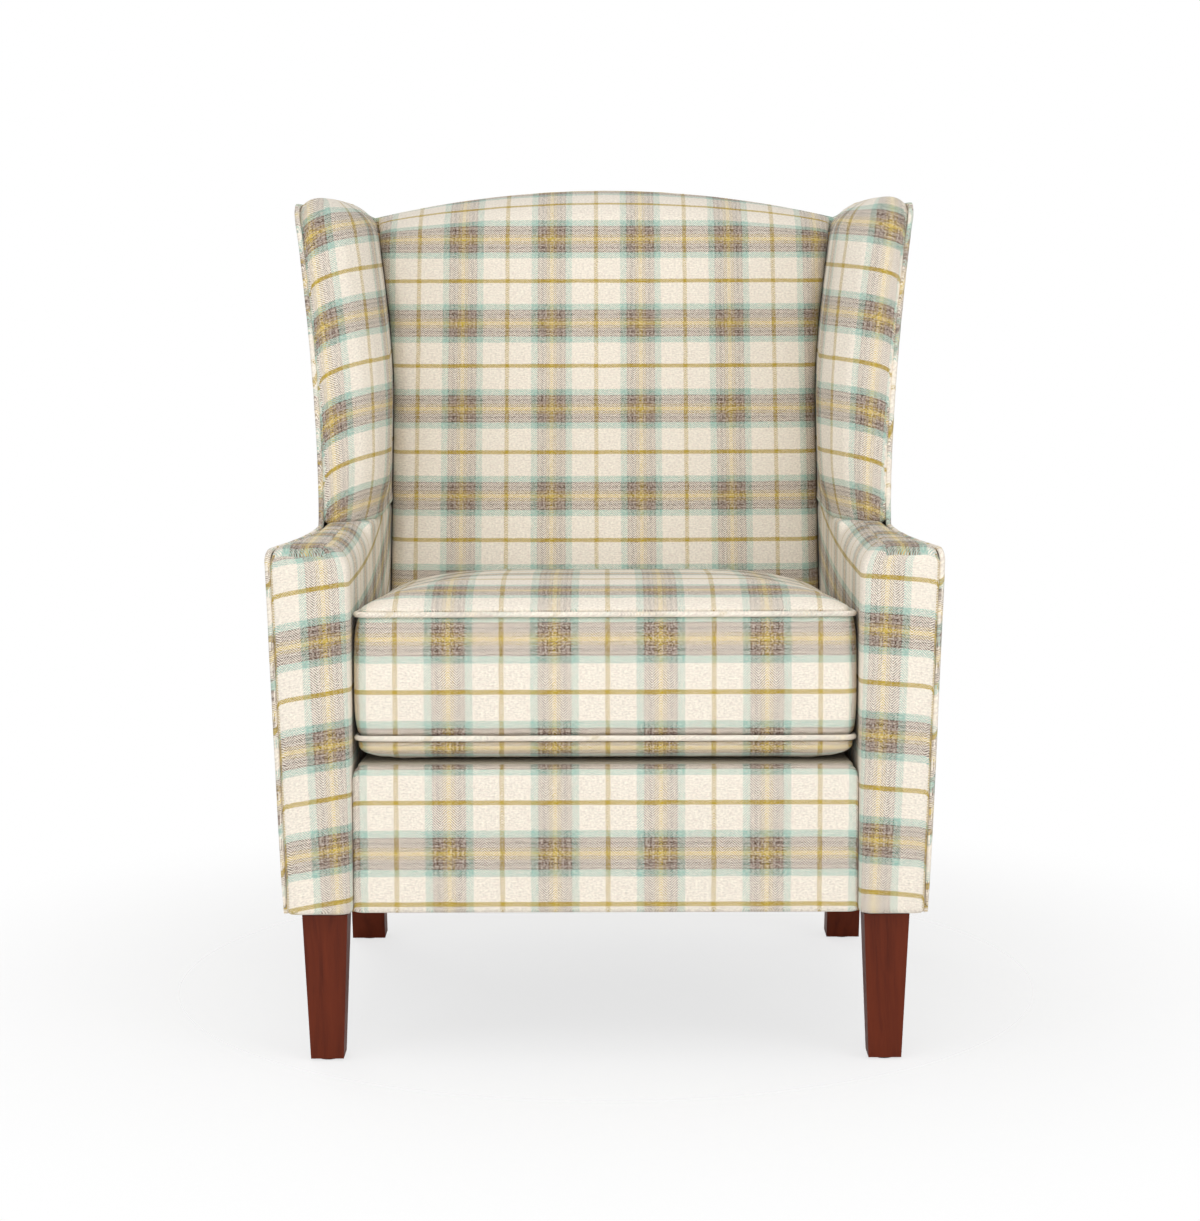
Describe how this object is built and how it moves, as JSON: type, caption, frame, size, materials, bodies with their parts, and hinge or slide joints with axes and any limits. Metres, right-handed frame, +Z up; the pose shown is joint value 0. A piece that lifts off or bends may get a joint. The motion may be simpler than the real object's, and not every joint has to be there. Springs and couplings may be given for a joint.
{
  "type": "fireside chair",
  "caption": "Wing-back fireside chair with a loose box seat cushion, padded arms and wings, an arched reclined back and tapered square wooden legs.",
  "frame": {"origin": "on the floor, at the middle of the chair's width and depth", "axes": "+Z up, the chair faces -Y, +X to the right as seen from the front"},
  "size_m": [0.7896, 0.8148, 1.014],
  "materials": {
    "stained_wood": "satin red-brown stain",
    "frame_timber": "planed, unfinished",
    "plaid_cloth": "woven wool-look plaid in cream, taupe, teal and gold",
    "piping_cloth": "plaid cloth cut on the bias",
    "deck_cloth": "plain weave over felt",
    "dust_cloth": "thin non-woven",
    "webbing": "woven jute",
    "foam": "open-cell foam",
    "steel": "zinc plated",
    "glide_plastic": "moulded",
    "zip_tape": "woven tape with fine teeth",
    "zip_metal": "dull"
  },
  "bodies": {
    "frame": {"front_leg_left": "stained_wood", "front_leg_right": "stained_wood", "rear_leg_left": "stained_wood", "rear_leg_right": "stained_wood", "leg_glides": "glide_plastic", "leg_plates": "steel", "hanger_bolts": "steel", "front_rail": "frame_timber", "rear_rail": "frame_timber", "side_rail_left": "frame_timber", "side_rail_right": "frame_timber", "corner_blocks": "frame_timber", "corner_screws": "steel", "arm_post_left": "frame_timber", "arm_post_right": "frame_timber", "arm_rail_left": "frame_timber", "arm_rail_right": "frame_timber", "back_post_left": "frame_timber", "back_post_right": "frame_timber", "crest_rail": "frame_timber", "lower_back_rail": "frame_timber", "wing_board_left": "frame_timber", "wing_board_right": "frame_timber", "seat_springs": "steel", "spring_clips": "steel", "seat_deck": "deck_cloth", "back_webbing": "webbing", "back_foam": "foam", "front_rail_cover": "plaid_cloth", "inside_back": "plaid_cloth", "arm_left": "plaid_cloth", "arm_right": "plaid_cloth", "wing_left": "plaid_cloth", "wing_right": "plaid_cloth", "side_piping_left": "piping_cloth", "side_piping_right": "piping_cloth", "outside_arm_left": "plaid_cloth", "outside_arm_right": "plaid_cloth", "outside_wing_left": "plaid_cloth", "outside_wing_right": "plaid_cloth", "outside_back": "plaid_cloth", "dust_cover": "dust_cloth"},
    "cushion": {"seat_cushion": "plaid_cloth", "cushion_foam": "foam", "cushion_top_piping": "piping_cloth", "cushion_bottom_piping": "piping_cloth", "zip_tape": "zip_tape"},
    "zip": {"zip_slider": "zip_metal"}
  },
  "joints": [
    {"name": "cushion_pull", "type": "slide", "parent": "frame", "child": "cushion", "axis": [0, -0.9613, 0.2756], "range_m": [0, 0.3]},
    {"name": "zip_slide", "type": "slide", "parent": "cushion", "child": "zip", "axis": [1, 0, 0], "range_m": [0, 0.37]}
  ]
}
